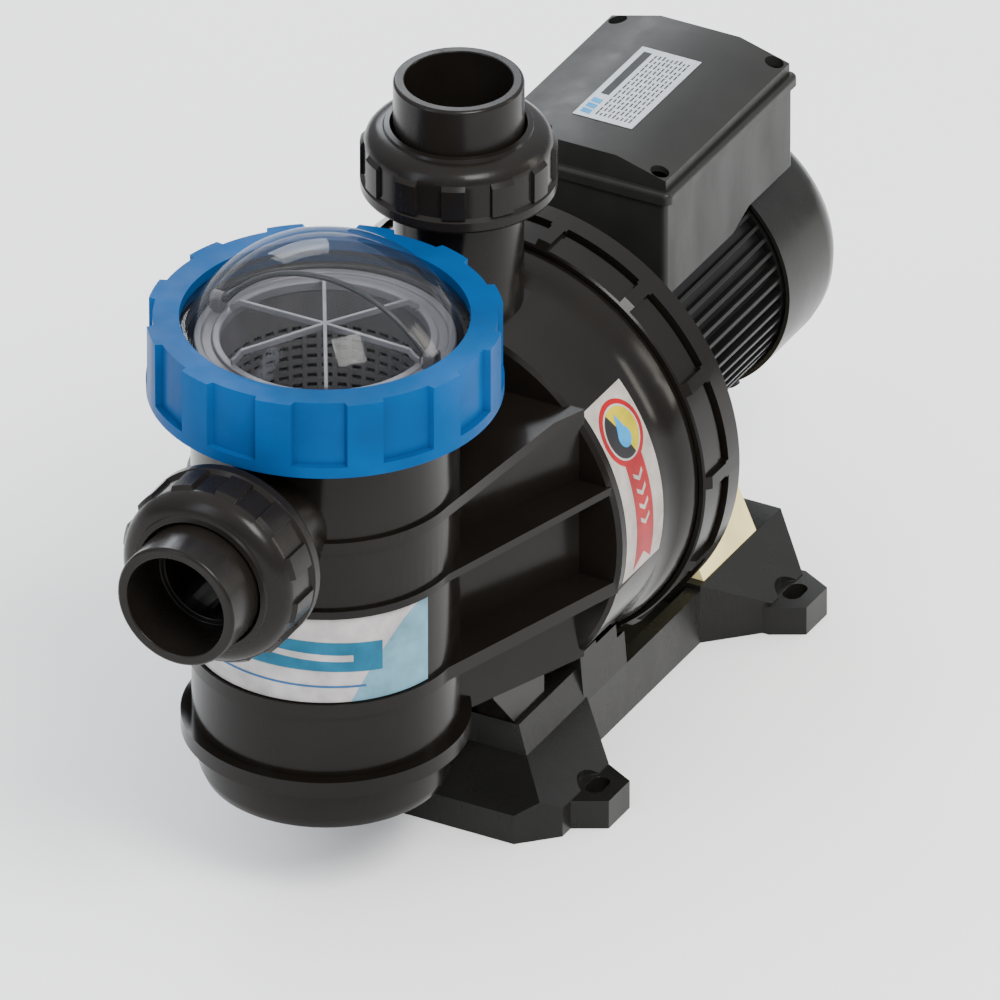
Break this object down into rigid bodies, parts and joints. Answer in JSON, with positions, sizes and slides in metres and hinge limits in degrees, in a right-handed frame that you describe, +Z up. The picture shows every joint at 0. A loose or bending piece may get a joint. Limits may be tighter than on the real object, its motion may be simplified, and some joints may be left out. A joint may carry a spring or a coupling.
{
  "type": "pool pump",
  "caption": "Self-priming pool pump: strainer pot with clear lid and lock ring, suction and discharge unions, ribbed casing, finned motor and slotted base.",
  "frame": {"origin": "middle of the four base slots, on the plane that the base stands on", "axes": "+X along the shaft from the suction side to the fan, +Z up along the discharge"},
  "size_m": [0.5354, 0.2188, 0.3457],
  "materials": {
    "black_plastic": "glossy injection-moulded black plastic",
    "base_plastic": "satin black moulded plastic",
    "pale_plastic": "pale yellow satin plastic",
    "blue_plastic": "glossy blue plastic",
    "clear_plastic": "clear polished plastic",
    "basket_plastic": "grey moulded plastic",
    "seal_rubber": "black rubber",
    "motor_paint": "black satin paint on aluminium",
    "box_plastic": "dark grey fine-grained plastic",
    "steel": "bright steel",
    "core_steel": "stacked steel sheets",
    "copper": "lacquered copper wire",
    "impeller_plastic": "glass-filled plastic",
    "ceramic": "ceramic and carbon seal faces",
    "label_film": null,
    "silver_plate": "brushed aluminium plate"
  },
  "bodies": {
    "housing": {"base_support": "base_plastic", "body_base_screws": "steel", "motor_pedestal": "pale_plastic", "pump_body": "black_plastic", "casing_clamp_ring": "black_plastic", "casing_o_ring": "seal_rubber", "seal_plate": "black_plastic", "diffuser": "impeller_plastic", "shaft_seal_seat": "ceramic", "suction_tailpiece": "black_plastic", "suction_o_ring": "seal_rubber", "discharge_tailpiece": "black_plastic", "discharge_o_ring": "seal_rubber", "drain_o_ring": "seal_rubber", "stator_core": "core_steel", "stator_windings": "copper", "front_bearing": "steel", "rear_bearing": "steel", "motor_frame": "motor_paint", "front_endshield": "motor_paint", "rear_endshield": "motor_paint", "motor_tie_rods": "steel", "fan_cover": "box_plastic", "fan_cover_screws": "steel", "terminal_box": "box_plastic", "terminal_box_gasket": "seal_rubber", "terminal_block": "impeller_plastic", "start_capacitor": "base_plastic", "cable_gland": "base_plastic", "pot_label": "label_film", "casing_label": "label_film"},
    "rotor": {"motor_shaft": "steel", "rotor_core": "core_steel", "impeller": "impeller_plastic", "impeller_nut": "steel", "shaft_seal_head": "ceramic", "shaft_seal_spring": "steel", "cooling_fan": "base_plastic"},
    "lid": {"lid_dome": "clear_plastic", "lid_o_ring": "seal_rubber"},
    "lock_ring": {"lock_ring": "blue_plastic"},
    "basket": {"strainer_basket": "basket_plastic"},
    "handle": {"basket_handle": "seal_rubber"},
    "suction_nut": {"suction_union_nut": "black_plastic"},
    "discharge_nut": {"discharge_union_nut": "black_plastic"},
    "drain_plug": {"drain_plug": "black_plastic"},
    "box_lid": {"terminal_box_lid": "box_plastic", "terminal_lid_screws": "steel", "name_plate": "silver_plate"}
  },
  "joints": [
    {"name": "shaft_spin", "type": "hinge", "parent": "housing", "child": "rotor", "pos_m": [0, 0, 0.136], "axis": [1, 0, 0], "continuous": true},
    {"name": "lid_lift", "type": "slide", "parent": "housing", "child": "lid", "axis": [0, 0, 1], "range_m": [0, 0.26]},
    {"name": "lock_ring_turn", "type": "hinge", "parent": "lid", "child": "lock_ring", "pos_m": [-0.188, 0, 0.27], "axis": [0, 0, 1], "continuous": true},
    {"name": "basket_lift", "type": "slide", "parent": "housing", "child": "basket", "axis": [0, 0, 1], "range_m": [0, 0.2]},
    {"name": "handle_swing", "type": "hinge", "parent": "basket", "child": "handle", "pos_m": [-0.188, 0, 0.2815], "axis": [0, 1, 0], "range_deg": [-70, 70]},
    {"name": "suction_nut_turn", "type": "hinge", "parent": "housing", "child": "suction_nut", "pos_m": [-0.28, 0, 0.2086], "axis": [-1, 0, 0], "continuous": true},
    {"name": "discharge_nut_turn", "type": "hinge", "parent": "housing", "child": "discharge_nut", "pos_m": [-0.0592, 0, 0.3], "axis": [0, 0, 1], "continuous": true},
    {"name": "drain_plug_turn", "type": "hinge", "parent": "housing", "child": "drain_plug", "pos_m": [-0.188, 0.065, 0.096], "axis": [0, 1, 0], "continuous": true},
    {"name": "box_lid_lift", "type": "slide", "parent": "housing", "child": "box_lid", "axis": [0, 0, 1], "range_m": [0, 0.06]}
  ],
  "couplings": [
    {"joint": "basket_lift", "follows": "lid_lift", "ratio": 0.75}
  ]
}
